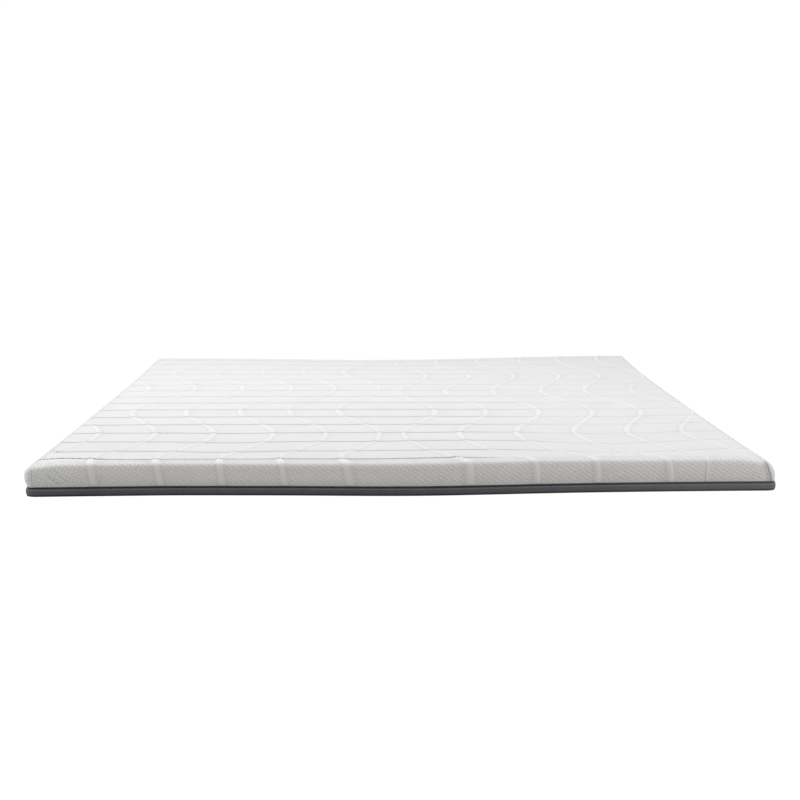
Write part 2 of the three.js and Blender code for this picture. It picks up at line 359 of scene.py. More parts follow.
def coverColumns():
    # lines along the bed: beside the corners, three for each rib, and some between two ribs
    lines = []
    crests = [(side, number) for side in (ribs["left"], ribs["right"])
              for number in range(len(side["places"]))]
    total = len(crests) * 3
    for side, number in crests:
        for step in (-1, 0, 1):
            low = -capX + capRadius + cover["clear"] * (len(lines) + 1)
            high = capX - capRadius - cover["clear"] * (total - len(lines))
            lines.append(lambda y, side=side, number=number, step=step, low=low, high=high: min(max(
                ribX(side, number, y) + step * ribs["columnHalf"], low), high))
    inner = capX - capRadius
    stops = [lambda y: -inner] + lines + [lambda y: inner]
    columns = [lambda y, inset=inset: -capX + inset for inset in cornerOffsets()[:0:-1]]
    columns.append(stops[0])
    for i in range(1, len(stops)):
        if i % 3 == 1:                                   # the gap before each rib's first line
            for k in range(1, cover["gapLines"] + 1):
                share = k / (cover["gapLines"] + 1)
                columns.append(lambda y, a=stops[i - 1], b=stops[i], s=share: between(a(y), b(y), s))
        columns.append(stops[i])
    columns += [lambda y, inset=inset: capX - inset for inset in cornerOffsets()[1:]]
    return columns


def coverRows():
    # lines across the bed, each with its relief: beside the corners, three for each channel, and between
    rows = [(lambda x, inset=inset: capFoot + inset, 0) for inset in cornerOffsets()[::-1]]
    places = channelPlaces()
    half = channels["half"]
    rows.append((lambda x: channelY(channels["foot"], x) - cover["footPillow"]["row"], channels["puff"]))
    for i, place in enumerate(places):
        if i > 0:
            before = places[i - 1]
            for k in range(1, cover["gapLines"] + 1):
                share = k / (cover["gapLines"] + 1)
                rows.append((lambda x, a=before, b=place, s=share: between(
                    channelY(a, x) + half, channelY(b, x) - half, s), channels["puff"]))
        for step in (-1, 0, 1):
            relief = 0 if step else -channels["cageDepth"]
            rows.append((lambda x, place=place, step=step: channelY(place, x) + step * half, relief))
    return rows + [(lambda x, inset=inset: capHead - inset, 0) for inset in cornerOffsets()]


def roundCorner(x, y):
    # turns the square corner of the grid into a quarter disc of the same radius
    dx = abs(x) - (capX - capRadius)
    dy = capFoot + capRadius - y if y < 0 else y - (capHead - capRadius)
    if dx <= 0 or dy <= 0:
        return x, y
    pull = max(dx, dy) / math.hypot(dx, dy)
    return math.copysign(capX - capRadius + dx * pull, x), y + math.copysign(dy * (pull - 1), y)


def outward(x, y):
    dx = max(abs(x) - (capX - capRadius), 0)
    dy = max(capFoot + capRadius - y if y < 0 else y - (capHead - capRadius), 0)
    length = math.hypot(dx, dy)
    return math.copysign(dx, x) / length, math.copysign(dy, y) / length


def wallProfile(nx, ny):
    # the rings of the wall where the outline faces (nx, ny): tight over the foot edge, round elsewhere
    share = ny * ny if ny < 0 else 0
    rings = [(between(a[0], b[0], share), between(a[1], b[1], share))
             for a, b in zip(cover["roundWall"], cover["footWall"])]
    return [(-cover["inset"], cover["crown"] - cover["fall"])] + rings + cover["core"]


def fabricOnWall(side, x, y, down):
    # where a point of the wall lies on the flat cloth; the arc of a corner keeps its real length
    nx, ny = outward(x, y)
    arc = plan["corner"] * math.atan2(min(abs(nx), abs(ny)), max(abs(nx), abs(ny)))
    if side in ("foot", "head"):
        u = x if abs(nx) < 1e-6 else math.copysign(capX - capRadius + arc, x)
        return u, (capFoot - down if side == "foot" else capHead + down)
    end = capFoot + capRadius - arc if y < 0 else capHead - capRadius + arc
    return (capX + down) * (1 if side == "right" else -1), (y if abs(ny) < 1e-6 else end)


def makeCoverCage():
    columns, rows = coverColumns(), coverRows()
    across, along = len(columns), len(rows)
    bm = bmesh.new()
    bmesh.ops.create_grid(bm, x_segments=across - 1, y_segments=along - 1, size=1)
    fabric = bm.loops.layers.uv.new("fabric")
    sewn = bm.verts.layers.deform.verify()
    grid = {}
    for vert in bm.verts:
        c = round((vert.co.x + 1) / 2 * (across - 1))
        r = round((vert.co.y + 1) / 2 * (along - 1))
        grid[c, r] = vert
    flat = {}
    for (c, r), vert in grid.items():
        x = columns[c](0)
        for _ in range(cover["crossings"]):
            y = rows[r][0](x)
            x = columns[c](y)
        x, y = roundCorner(x, y)
        flat[vert] = (x, y, rows[r][1], c)
        vert.co = settle(x, y, crownHeight(x, y) + rows[r][1] - cover["slack"])
        if rows[r][1] < 0:
            vert[sewn][0] = 1.0
    for face in bm.faces:
        for loop in face.loops:
            loop[fabric].uv = flat[loop.vert][:2]
    rim = [grid[c, 0] for c in range(across - 1)] + [grid[across - 1, r] for r in range(along - 1)]
    rim += [grid[c, along - 1] for c in range(across - 1, 0, -1)]
    rim += [grid[0, r] for r in range(along - 1, 0, -1)]
    sides = ["foot"] * (across - 1) + ["right"] * (along - 1)
    sides += ["head"] * (across - 1) + ["left"] * (along - 1)
    spots = [flat[vert] for vert in rim]
    faced = [outward(spot[0], spot[1]) for spot in spots]
    profiles = [wallProfile(nx, ny) for nx, ny in faced]
    downs = [[0.0] for _ in spots]                       # how far down the cloth each ring lies
    for profile, down in zip(profiles, downs):
        for before, after in zip(profile, profile[1:]):
            down.append(down[-1] + math.dist(before, after))
    wallX = []                                           # the columns run on down the end walls
    for (x, y, _, c), (nx, ny), down in zip(spots, faced, downs):
        wallX.append([columns[c](y + ny * level) if abs(nx) < 1e-6 else x for level in down])
    ring = rim
    count = len(rim)
    rings = len(cover["footWall"])
    lowest = cover["footWall"][-1][1]
    for k in range(1, len(profiles[0])):
        after = growRing(bm, ring, ringEdges(bm, ring))
        for i, vert in enumerate(after):
            x, y, relief, _ = spots[i]
            nx, ny = faced[i]
            out, height = profiles[i][k]
            reach = cover["inset"] + out + (0 if k > rings else relief - cover["slack"])
            sink = (crownHeight(x, y) - cover["crown"] + cover["fall"]) * max(
                0, (height - lowest) / (cover["crown"] - lowest))
            vert.co = settle(wallX[i][k] + nx * reach, y + ny * reach, height + sink)
            if relief < 0 or k >= rings:
                vert[sewn][0] = 1.0
        for i in range(count):
            j = (i + 1) % count
            face = bm.edges.get((after[i], after[j])).link_faces[0]
            places = {ring[i]: (i, k - 1), ring[j]: (j, k - 1), after[i]: (i, k), after[j]: (j, k)}
            for loop in face.loops:
                at, level = places[loop.vert]
                loop[fabric].uv = fabricOnWall(sides[i], wallX[at][level], spots[at][1], downs[at][level])
        ring = after
    bmesh.ops.recalc_face_normals(bm, faces=bm.faces)
    return bm


swell = {"frames": 20, "pressure": 4.0, "topCap": 1.2, "wallCap": 0.8, "topFrom": 0.0575, "quality": 6}


def swellCover(piece):
    # the cloth swells between its sewn lines, and no point moves further than its cap
    scene = bpy.context.scene
    rest = [v.co.copy() for v in piece.data.vertices]
    sewnGroup = piece.vertex_groups.new(name="sewn")
    cloth = piece.modifiers.new("swell", "CLOTH")
    cloth.settings.vertex_group_mass = sewnGroup.name
    cloth.settings.use_pressure = True
    cloth.settings.uniform_pressure_force = swell["pressure"]
    cloth.settings.effector_weights.gravity = 0
    cloth.settings.quality = swell["quality"]
    cloth.collision_settings.use_collision = False
    cloth.point_cache.frame_end = swell["frames"]
    for number in range(1, swell["frames"] + 1):
        scene.frame_set(number)
    swollen = piece.evaluated_get(bpy.context.evaluated_depsgraph_get()).to_mesh()
    moved = [v.co.copy() for v in swollen.vertices]
    piece.evaluated_get(bpy.context.evaluated_depsgraph_get()).to_mesh_clear()
    piece.modifiers.remove(cloth)
    scene.frame_set(1)
    largest = 0
    for vert, before, after in zip(piece.data.vertices, rest, moved):
        move = after - before
        cap = 0.001 * swell["topCap" if before.z > swell["topFrom"] else "wallCap"]
        largest = max(largest, move.length)
        if move.length > 1e-9:
            vert.co = before + move.normalized() * cap * math.tanh(move.length / cap)
    print("the cover swelled by at most", round(largest * 1000, 2), "mm before its cap")


def applyModifiers(piece):
    graph = bpy.context.evaluated_depsgraph_get()
    mesh = bpy.data.meshes.new_from_object(piece.evaluated_get(graph), depsgraph=graph)
    old = piece.data
    piece.modifiers.clear()
    piece.data = mesh
    bpy.data.meshes.remove(old)
    mesh.name = piece.name


cornerSeams = {                                          # arc from the straight to the seam, in millimetres
    "footLeft": 5, "footRight": 8.5, "headLeft": 19.6, "headRight": 19.6, "left": 0.5, "right": 1.5,
    "crease": 1.5, "creaseHalf": 1.0, "lip": 1.6, "lipAway": 3.0, "lipHalf": 1.7,
}
# Where the finish looks for a rib and for the foot groove, and how soon it sets in above the hem
finish = {"grooveFrom": -20, "grooveTo": 45, "hemRun": 4, "ribReach": 140}
# creases of the foot wall; dark is the share of painted shade in each
wrinkles = [                                         # from, to on the foot wall: across, height
    {"from": (-700, 44), "to": (-671, 21), "depth": 1.5, "half": 3.4, "dark": 0.55},
    {"from": (-683, 51), "to": (-655, 24), "depth": 1.0, "half": 3.4, "dark": 0.3},
    {"from": (-716, 40), "to": (-694, 22), "depth": 0.6, "half": 3.6, "dark": 0.12},
    {"from": (726, 52), "to": (706, 24), "depth": 0.6, "half": 3.8, "dark": 0.1},
]
foldEnds = {"from": -0.25, "fromRun": 0.4, "to": 1.2, "toRun": 0.3}      # shares of a fold's length
creaseMark = {"half": (0.0002, 0.0013), "ends": (0.3, 0.55)}


awayNames = ("ribAway", "lineAway", "seamAway")      # kept on the mesh in millimetres


def ribAway(x, y):
    # distance across the bed to the nearest rib
    thin = ribs["thin"]
    best = 1e6
    for side in (ribs["left"], ribs["right"]):
        for number, rest in enumerate(side["places"]):
            if abs(x - rest) > finish["ribReach"]:
                continue
            away = abs(x - ribX(side, number, y))
            if rest == thin["place"]:
                away *= 1 + thin["more"] * smooth((thin["from"] - y) / thin["run"])
            best = min(best, away)
    return best


def channelAway(x, y):
    # distance to the nearest sewn line, which lies less than a pitch from its place at the bed's middle
    near = [place for place in channelPlaces() if abs(place - y) < channels["pitch"]]
    return min(abs(y - channelY(place, x)) for place in near)


def seamDistance(u, v):
    # along the wall from the upright seam of the nearest corner; large away from the walls
    isFoot, isHead = v < capFoot, v > capHead
    if not (isFoot or isHead or abs(u) > capX):
        return 1e6
    name = ("foot" if v < 0 else "head") + ("Left" if u < 0 else "Right")
    seamAt = cornerSeams[name]
    corner = plan["corner"] * math.pi / 4
    if isFoot or isHead:
        return abs(abs(u) - (capX - capRadius + seamAt))
    fromStraight = (capFoot + capRadius - v) if v < 0 else (v - capHead + capRadius)
    return corner - fromStraight + corner - seamAt


def finishCover(piece):
    # ribs, channels and corner seams on the fine mesh, with the distances that the material reads
    mesh = piece.data
    for name in awayNames:
        mesh.attributes.new(name, "FLOAT", "POINT")
    kept = {name: mesh.attributes[name] for name in awayNames}
    uv = mesh.uv_layers["fabric"].data
    fabricOf = {}
    for loop in mesh.loops:
        fabricOf.setdefault(loop.vertex_index, tuple(uv[loop.index].uv))
    lowest = cover["footWall"][-1][1]
    normals = [n.vector.copy() for n in mesh.vertex_normals]
    for vert in mesh.vertices:
        u, v = fabricOf[vert.index]
        height = vert.co.z * 1000
        onEnd, onSide = v < capFoot or v > capHead, abs(u) > capX
        toRib = 1e3 if onSide else ribAway(u, v)
        toLine = 1e3 if onEnd else channelAway(min(max(u, -capX), capX), v)
        toSeam = seamDistance(u, v)
        lift = -channels["depth"] * hill(toLine, channels["reach"])
        if finish["grooveFrom"] < v - channels["foot"] < finish["grooveTo"] and not onSide:
            toFoot = v - channelY(channels["foot"], u)
            ended = smooth((u - channels["grooveEnd"][0]) / channels["grooveEnd"][1])
            lift -= channels["footGroove"] * hill(toFoot, channels["footReach"]) * (1 - ended)
        if toRib < ribs["half"]:
            lift += ribs["height"] * math.cos(toRib / ribs["half"] * math.pi / 2) ** ribs["edge"]
        seamStrength = cornerSeams["left" if u < 0 else "right"]
        crease = cornerSeams["crease"] * hill(toSeam, cornerSeams["creaseHalf"])
        lip = cornerSeams["lip"] * hill(abs(toSeam) - cornerSeams["lipAway"], cornerSeams["lipHalf"])
        lift += seamStrength * (lip - crease)
        if v < capFoot:
            lift -= sum(foldDepth(fold, u, height) for fold in wrinkles)
        vert.co += normals[vert.index] * 0.001 * lift * smooth((height - lowest) / finish["hemRun"])
        for name, away in zip(awayNames, (toRib, toLine, toSeam)):
            kept[name].data[vert.index].value = away


def foldDepth(fold, u, height):
    start, end = Vector(fold["from"]), Vector(fold["to"])
    along = end - start
    here = Vector((u, height)) - start
    share = here.dot(along) / along.length_squared
    off = abs(along.x * here.y - along.y * here.x) / along.length
    ends = smooth((share - foldEnds["from"]) / foldEnds["fromRun"])
    ends *= smooth((foldEnds["to"] - share) / foldEnds["toRun"])
    return fold["depth"] * hill(off, fold["half"]) * ends


def closeUnder(piece):
    # one flat sheet of triangles closes the open underside, inside the strips
    bm = bmesh.new()
    bm.from_mesh(piece.data)
    openEdges = [edge for edge in bm.edges if len(edge.link_faces) == 1]
    bmesh.ops.triangle_fill(bm, edges=openEdges, use_beauty=True, use_dissolve=False)
    bmesh.ops.recalc_face_normals(bm, faces=bm.faces)
    bm.to_mesh(piece.data)
    bm.free()
    piece.data.shade_smooth()


def scaleFabric(piece):
    # the material reads the flat cloth in metres
    for loop in piece.data.uv_layers["fabric"].data:
        loop.uv = loop.uv * 0.001


# The pips of the knit stand on a turned square lattice of the flat cloth
pips = {
    "pitch": 7.1, "turn": -30, "radius": 1.95, "lowest": 24.4,
    "height": {"wall": 0.7, "shoulder": 1.2, "from": 0.046, "run": 0.009},
    "above": {"foot": 26, "others": 3},                  # how far they reach over the shoulder
    "ribAway": 5.4, "seamAway": 5.2,                     # the knit is plain nearer to a rib or a seam
    "spread": (0.92, 1.06), "tallSpread": (0.85, 1.1), "facing": (1, 0.3, 0.2),
}


def depthDown(height):
    # how far down the flat cloth a height of the wall lies
    profile = wallProfile(0, -1)
    down = 0
    for before, after in zip(profile, profile[1:]):
        step = math.dist(before, after)
        if after[1] <= height:
            return down + step * (before[1] - height) / (before[1] - after[1])
        down += step
    return down


def creaseMask(tree, fabric, fold):
    # one along a thin crease on the foot wall, read from the flat cloth; it places painted shade there and
    # sinks the bump
    start, end = (Vector((x, capFoot - depthDown(z), 0)) * 0.001 for x, z in (fold["from"], fold["to"]))
    turn = Matrix.Rotation(-math.atan2(end.y - start.y, end.x - start.x), 3, "Z")
    placed = addNode(tree, "Mapping", {"Vector": fabric, "Location": -(turn @ start),
                                       "Rotation": turn.to_euler()}).outputs[0]
    split = addNode(tree, "SeparateXYZ", {0: placed})
    off = calc(tree, "ABSOLUTE", split.outputs["Y"])
    middle = calc(tree, "ABSOLUTE", calc(tree, "SUBTRACT", split.outputs["X"], (end - start).length / 2))
    ends = fade(tree, middle, *((end - start).length * share for share in creaseMark["ends"]))
    return calc(tree, "MULTIPLY", fade(tree, off, *creaseMark["half"]), ends)


# The knit's colour and relief, with painted shade along the ribs' edges, in the corner seams and, in part,
# in the sewn lines. A pair is where a fade is whole and where it has gone, in millimetres from the rib,
# the line or the seam; of hem and lineNear it is metres, up the wall and along the bed
knit = {
    "hem": (0.0222, 0.0235), "rib": (ribs["half"] - 1.8, ribs["half"]), "line": (0.8, 3.4),
    # painted shade: seam and gap bound a dark line down the middle of each corner seam
    "seam": (3.5, 5), "gap": (0.2, 1.1), "lineNear": (-0.35, 0.45),
    "paintedRibEdgeShade": (ribs["half"] - 0.6, ribs["half"] + 2.4), "onRib": (ribs["half"] - 3, ribs["half"]),
    "ribShade": 0.3, "lineShare": (0.14, 0.08), "seamShadeShare": (0.25, 0.15),      # shares: slope, start
    "yarnScale": 900, "loopScale": 190, "broadScale": 7,
    "pipBump": 0.45, "loopBump": 0.1, "yarnBump": 0.1, "creaseBump": 0.8,
}


def pipPattern(tree, fabric):
    # one at the middle of every pip of the lattice, nothing between two
    turned = addNode(tree, "Mapping", {
        "Vector": fabric, "Rotation": (0, 0, -math.radians(pips["turn"])),
        "Scale": (1000 / pips["pitch"],) * 3})
    split = addNode(tree, "SeparateXYZ", {0: turned.outputs[0]})
    waves = []
    for axis in ("X", "Y"):
        angle = calc(tree, "MULTIPLY", split.outputs[axis], 2 * math.pi)
        waves.append(calc(tree, "MULTIPLY_ADD", calc(tree, "COSINE", angle), 0.5, 0.5))
    return calc(tree, "MULTIPLY", waves[0], waves[1])


def knitMaterial():
    material, tree, shader = newMaterial(
        "whiteKnit", Sheen_Weight=0.25, Sheen_Roughness=0.6, Specular_IOR_Level=0.25)
    fabric = addNode(tree, "UVMap", uv_map="fabric").outputs[0]
    cloth = addNode(tree, "SeparateXYZ", {0: fabric}).outputs
    height = addNode(tree, "SeparateXYZ", {0: objectPlace(tree)}).outputs["Z"]
    toRib, toLine, toSeam = (attribute(tree, name) for name in awayNames)
    hem = fade(tree, height, *knit["hem"])
    rib, line = fade(tree, toRib, *knit["rib"]), fade(tree, toLine, *knit["line"])
    # painted shade: a thin grey band along both edges of every rib, where its relief is in shade
    aroundRib, onRib = fade(tree, toRib, *knit["paintedRibEdgeShade"]), fade(tree, toRib, *knit["onRib"])
    ribShade = calc(tree, "SUBTRACT", aroundRib, onRib)
    seam, gap = fade(tree, toSeam, *knit["seam"]), fade(tree, toSeam, *knit["gap"])
    # painted shade in the creases of the foot wall, each by its own share
    creases = 0.0
    for fold in wrinkles:
        crease = calc(tree, "MULTIPLY", creaseMask(tree, fabric, fold), fold["dark"])
        creases = calc(tree, "ADD", creases, crease)
    plain = calc(tree, "MAXIMUM", calc(tree, "MAXIMUM", rib, hem), seam)
    knitted = calc(tree, "SUBTRACT", 1.0, plain)
    pipHeight = calc(tree, "MULTIPLY", pipPattern(tree, fabric), knitted)
    yarn = addNode(tree, "TexNoise", {
        "Vector": fabric, "Scale": knit["yarnScale"], "Detail": 2, "Roughness": 0.6}).outputs["Fac"]
    loops = addNode(tree, "TexWave", {
        "Vector": fabric, "Scale": knit["loopScale"], "Distortion": 1.6, "Detail": 1, "Detail Scale": 3},
        wave_type="BANDS", bands_direction="X").outputs["Fac"]
    broad = addNode(tree, "TexNoise", {
        "Vector": fabric, "Scale": knit["broadScale"], "Detail": 3, "Roughness": 0.55}).outputs["Fac"]
    # painted shade: the knit is darker between the pips and lighter on their tops
    ground = ramp(tree, pipHeight, (0.0, colour(243, 243, 243)), (0.75, colour(249, 249, 249)))
    ribbed = mixColour(tree, rib, ground, colour(251, 251, 252))
    tone = ramp(tree, broad, (0.3, colour(251, 251, 250)), (0.7, colour(255, 255, 255)))
    fine = ramp(tree, yarn, (0.3, colour(248, 248, 248)), (0.7, colour(255, 255, 255)))
    toned = mixColour(tree, 1.0, mixColour(tree, 1.0, ribbed, tone, "MULTIPLY"), fine, "MULTIPLY")
    # the painted shade along the ribs' edges is mixed into the knit's colour
    shade = calc(tree, "MULTIPLY", ribShade, knit["ribShade"])
    paintedRibEdgeShade = mixColour(tree, shade, toned, colour(206, 207, 209))
    # a beige tint along each sewn line, stronger towards the foot: partly the yarn's own beige, partly
    # painted shade in the line's groove
    near = fade(tree, cloth["Y"], *knit["lineNear"])
    lineShare = calc(tree, "MULTIPLY", line, calc(tree, "MULTIPLY_ADD", near, *knit["lineShare"]))
    lined = mixColour(tree, lineShare, paintedRibEdgeShade, colour(206, 200, 186))
    # painted shade down the middle of each corner seam, stronger on the right, and in the creases of the
    # foot wall
    onRight = calc(tree, "GREATER_THAN", cloth["X"], 0.0)
    seamShadeShare = calc(tree, "MULTIPLY", gap, calc(tree, "MULTIPLY_ADD", onRight, *knit["seamShadeShare"]))
    paintedShade = calc(tree, "MAXIMUM", seamShadeShare, creases)
    tree.links.new(mixColour(tree, paintedShade, lined, colour(140, 134, 126)), shader.inputs["Base Color"])
    tree.links.new(calc(tree, "MULTIPLY_ADD", yarn, 0.12, 0.82), shader.inputs["Roughness"])
    surface = calc(tree, "MULTIPLY", loops, knit["loopBump"])
    surface = calc(tree, "MULTIPLY_ADD", pipHeight, knit["pipBump"], surface)
    surface = calc(tree, "MULTIPLY_ADD", yarn, knit["yarnBump"], surface)
    surface = calc(tree, "SUBTRACT", surface, calc(tree, "MULTIPLY", creases, knit["creaseBump"]))
    bump(tree, shader, surface, 0.001)
    return material


def makeKnitCover():
    material = knitMaterial()
    piece = makeObject("knitCover", makeCoverCage(), [material])
    swellCover(piece)
    fine = piece.modifiers.new("fine", "SUBSURF")
    fine.levels = fine.render_levels = 2
    fine.uv_smooth = "NONE"
    applyModifiers(piece)
    finishCover(piece)
    scaleFabric(piece)
    closeUnder(piece)
    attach(piece, "root")
    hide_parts("knit_cover")
    return piece


knitCover = makeKnitCover()
print("the knitted cover is made,", len(knitCover.data.polygons), "faces")


# Small closed beads: knit pips and stitches, put down in batches
beadFaces = 20
patchScale = 22


def scatterBeads(name, spots, material, batch=150):
    whole = bmesh.new()
    for first in range(0, len(spots), batch):
        part = bmesh.new()
        for matrix in spots[first:first + batch]:
            bmesh.ops.create_icosphere(part, subdivisions=1, radius=1, matrix=matrix)
        mesh = bpy.data.meshes.new("part")
        part.to_mesh(mesh)
        part.free()
        whole.from_mesh(mesh)
        bpy.data.meshes.remove(mesh)
    return makeObject(name, whole, [material])


def beadMatrix(place, along, normal, size):
    up = normal.normalized()
    ahead = (along - up * along.dot(up)).normalized()
    beside = up.cross(ahead)
    turn = Matrix((ahead, beside, up)).transposed().to_4x4()
    return Matrix.Translation(place) @ turn @ Matrix.Diagonal((*size, 1))


def threadMaterial(name, scale, low, high, rough, patches=None, **settings):
    # yarn with fine strands; the patches are a second tone in broad soft places
    material, tree, shader = newMaterial(name, **settings)
    place = objectPlace(tree)
    strands = addNode(tree, "TexNoise", {"Vector": place, "Scale": scale, "Detail": 2}).outputs["Fac"]
    tone = ramp(tree, strands, (0.3, low), (0.7, high))
    if patches:
        broad = addNode(tree, "TexNoise", {
            "Vector": place, "Scale": patchScale, "Detail": 2}).outputs["Fac"]
        tone = mixColour(tree, broad, tone, patches)
    tree.links.new(tone, shader.inputs["Base Color"])
    if rough:
        tree.links.new(calc(tree, "MULTIPLY_ADD", strands, *rough), shader.inputs["Roughness"])
    bump(tree, shader, strands, 0.0002)
    return material


def insideTriangle(point, a, b, c):
    # barycentric shares of a point of the flat cloth, or None outside
    area = (b - a).cross(c - a)
    if abs(area) < 1e-12:
        return None
    second, third = (point - a).cross(c - a) / area, (b - a).cross(point - a) / area
    first = 1 - second - third
    return (first, second, third) if min(first, second, third) >= 0 else None


def pipSpots():
    mesh = knitCover.data
    uv = mesh.uv_layers["fabric"].data
    away = {name: mesh.attributes[name].data for name in ("ribAway", "seamAway")}
    turn = math.radians(pips["turn"])
    pitch = 0.001 * pips["pitch"]
    axes = (Vector((math.cos(turn), math.sin(turn))) * pitch,
            Vector((-math.sin(turn), math.cos(turn))) * pitch)
    heights = pips["height"]
    dice = random.Random(11)
    spots = []
    footEdge = 0.001 * (capFoot + pips["above"]["foot"])
    headEdge = 0.001 * (capHead - pips["above"]["others"])
    sideEdge = 0.001 * (capX - pips["above"]["others"])
    mesh.calc_loop_triangles()
    normals = [n.vector.copy() for n in mesh.vertex_normals]
    for tri in mesh.loop_triangles:
        corners = [Vector(uv[i].uv) for i in tri.loops]
        verts = [mesh.vertices[i] for i in tri.vertices]
        middle = sum(corners, Vector((0, 0))) / 3
        isInside = abs(middle.x) < sideEdge and footEdge < middle.y < headEdge
        if isInside or min(v.co.z for v in verts) < 0.001 * pips["lowest"]:
            continue
        shares = [(c.dot(axes[0]) / pitch ** 2, c.dot(axes[1]) / pitch ** 2) for c in corners]
        for i in range(math.ceil(min(s[0] for s in shares)), math.floor(max(s[0] for s in shares)) + 1):
            for j in range(math.ceil(min(s[1] for s in shares)), math.floor(max(s[1] for s in shares)) + 1):
                inside = insideTriangle(axes[0] * i + axes[1] * j, *corners)
                if inside is None:
                    continue
                if any(sum(share * data[v.index].value for share, v in zip(inside, verts)) < pips[name]
                       for name, data in away.items()):
                    continue
                place = sum((v.co * share for v, share in zip(verts, inside)), Vector())
                normal = sum((normals[v.index] * share for v, share in zip(verts, inside)), Vector())
                size = 0.001 * pips["radius"] * dice.uniform(*pips["spread"])
                tall = between(heights["wall"], heights["shoulder"], smooth(
                    (place.z - heights["from"]) / heights["run"]))
                spots.append(beadMatrix(place, Vector(pips["facing"]), normal, (
                    size, size, 0.001 * tall * dice.uniform(*pips["tallSpread"]))))
    return spots


def makeKnitPips():
    material = threadMaterial(
        "knitPip", 1100, colour(241, 240, 238), colour(250, 250, 249), (0.1, 0.82),
        Sheen_Weight=0.2, Sheen_Roughness=0.6, Specular_IOR_Level=0.25)
    piece = scatterBeads("knitPips", pipSpots(), material)
    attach(piece, "root")
    return piece


knitPips = makeKnitPips()
print("pips:", len(knitPips.data.polygons) // beadFaces)


# Beige stitches along every sewn line
channelYarn = {
    "pitch": 6.6, "length": 4.2, "width": 3.2, "height": 2.7, "sink": -0.45, "jitter": 0.35,
    "faintFrom": 120, "faintRun": 330, "faintScale": 0.72, "faintSink": 0.2,      # fainter to the right
    "backFrom": -400, "backRun": 900, "backScale": 0.72, "backSink": 0.7,    # and towards the head
    "spread": (0.9, 1.08), "pitchSpread": (0.96, 1.04), "lookAhead": 4,
    "castHeight": 90, "castOut": 0.02,                   # from where a ray looks for the cover
    "foot": {"scale": 1.5, "sink": -2.0, "endFrom": 170, "endRun": 80, "endScale": 0.42, "endSink": 0.3},
    "wallLowest": 27, "wallScale": 0.8,
}


def surfaceAt(tree, x, y):
    # the top of the cover under a point of the plan
    place = settle(x, y, channelYarn["castHeight"])
    hit = tree.ray_cast(place, Vector((0, 0, -1)))
    return hit[0], hit[1]


def coverTree():
    bm = bmesh.new()
    bm.from_mesh(knitCover.data)
    tree = BVHTree.FromBMesh(bm)
    bm.free()
    return tree


def wallYarn(tree, place, side):
    # points down the side wall along one sewn line, from under the rim of the top to above the hem
    profile = wallProfile(side, 0)[:len(cover["footWall"]) + 1]
    found, walked, wanted = [], 0.0, channelYarn["pitch"]
    for before, after in zip(profile, profile[1:]):
        run = math.dist(before, after)
        while wanted < walked + run:
            share = (wanted - walked) / run
            out, height = (between(before[n], after[n], share) for n in (0, 1))
            if height > channelYarn["wallLowest"]:
                x = side * (plan["halfWidth"] + out)
                y = channelY(place, side * capX)
                tilt = Vector(((before[1] - after[1]) * side, 0, after[0] - before[0])).normalized()
                hit = tree.ray_cast(settle(x, y, height) + tilt * channelYarn["castOut"], -tilt)
                if hit[0] is not None:
                    found.append((hit[0], hit[1], Vector((tilt.z * -side, 0, tilt.x * side))))
            wanted += channelYarn["pitch"]
        walked += run
    return found


def yarnSpots():
    tree = coverTree()
    dice = random.Random(5)
    spots = []
    size = [0.0005 * channelYarn[name] for name in ("length", "width", "height")]
    for place in channelPlaces():
        x = -capX
        while x < capX:
            y = channelY(place, x) + dice.uniform(-1, 1) * channelYarn["jitter"]
            top, normal = surfaceAt(tree, x, y)
            nextX = x + channelYarn["lookAhead"]
            ahead = settle(nextX, channelY(place, nextX), cover["crown"])
            ahead -= settle(x, channelY(place, x), cover["crown"])
            if place == channels["foot"]:
                foot = channelYarn["foot"]
                faint = smooth((x - foot["endFrom"]) / foot["endRun"])
                scale = between(foot["scale"], foot["endScale"], faint)
                sink = between(foot["sink"], foot["endSink"], faint)
            else:
                faint = smooth((x - channelYarn["faintFrom"]) / channelYarn["faintRun"])
                back = smooth((place - channelYarn["backFrom"]) / channelYarn["backRun"])
                scale = between(1, channelYarn["faintScale"], faint)
                scale *= between(1, channelYarn["backScale"], back)
                sink = between(channelYarn["sink"], channelYarn["faintSink"], max(
                    faint, back * channelYarn["backSink"]))
            scale *= dice.uniform(*channelYarn["spread"])
            spots.append(beadMatrix(top - normal * 0.001 * sink, ahead, normal, [s * scale for s in size]))
            x += channelYarn["pitch"] * dice.uniform(*channelYarn["pitchSpread"])
        for side in (-1, 1):
            for point, normal, ahead in wallYarn(tree, place, side):
                spots.append(beadMatrix(point, ahead, normal, [s * channelYarn["wallScale"] for s in size]))
    return spots


def makeChannelYarn():
    material = threadMaterial(
        "beigeYarn", 1500, colour(140, 132, 116), colour(166, 158, 142), (0.15, 0.75),
        patches=colour(172, 164, 149), Sheen_Weight=0.15, Sheen_Roughness=0.5)
    piece = scatterBeads("channelYarn", yarnSpots(), material)
    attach(piece, "root")
    return piece


makeChannelYarn()
print("the sewn lines are stitched")

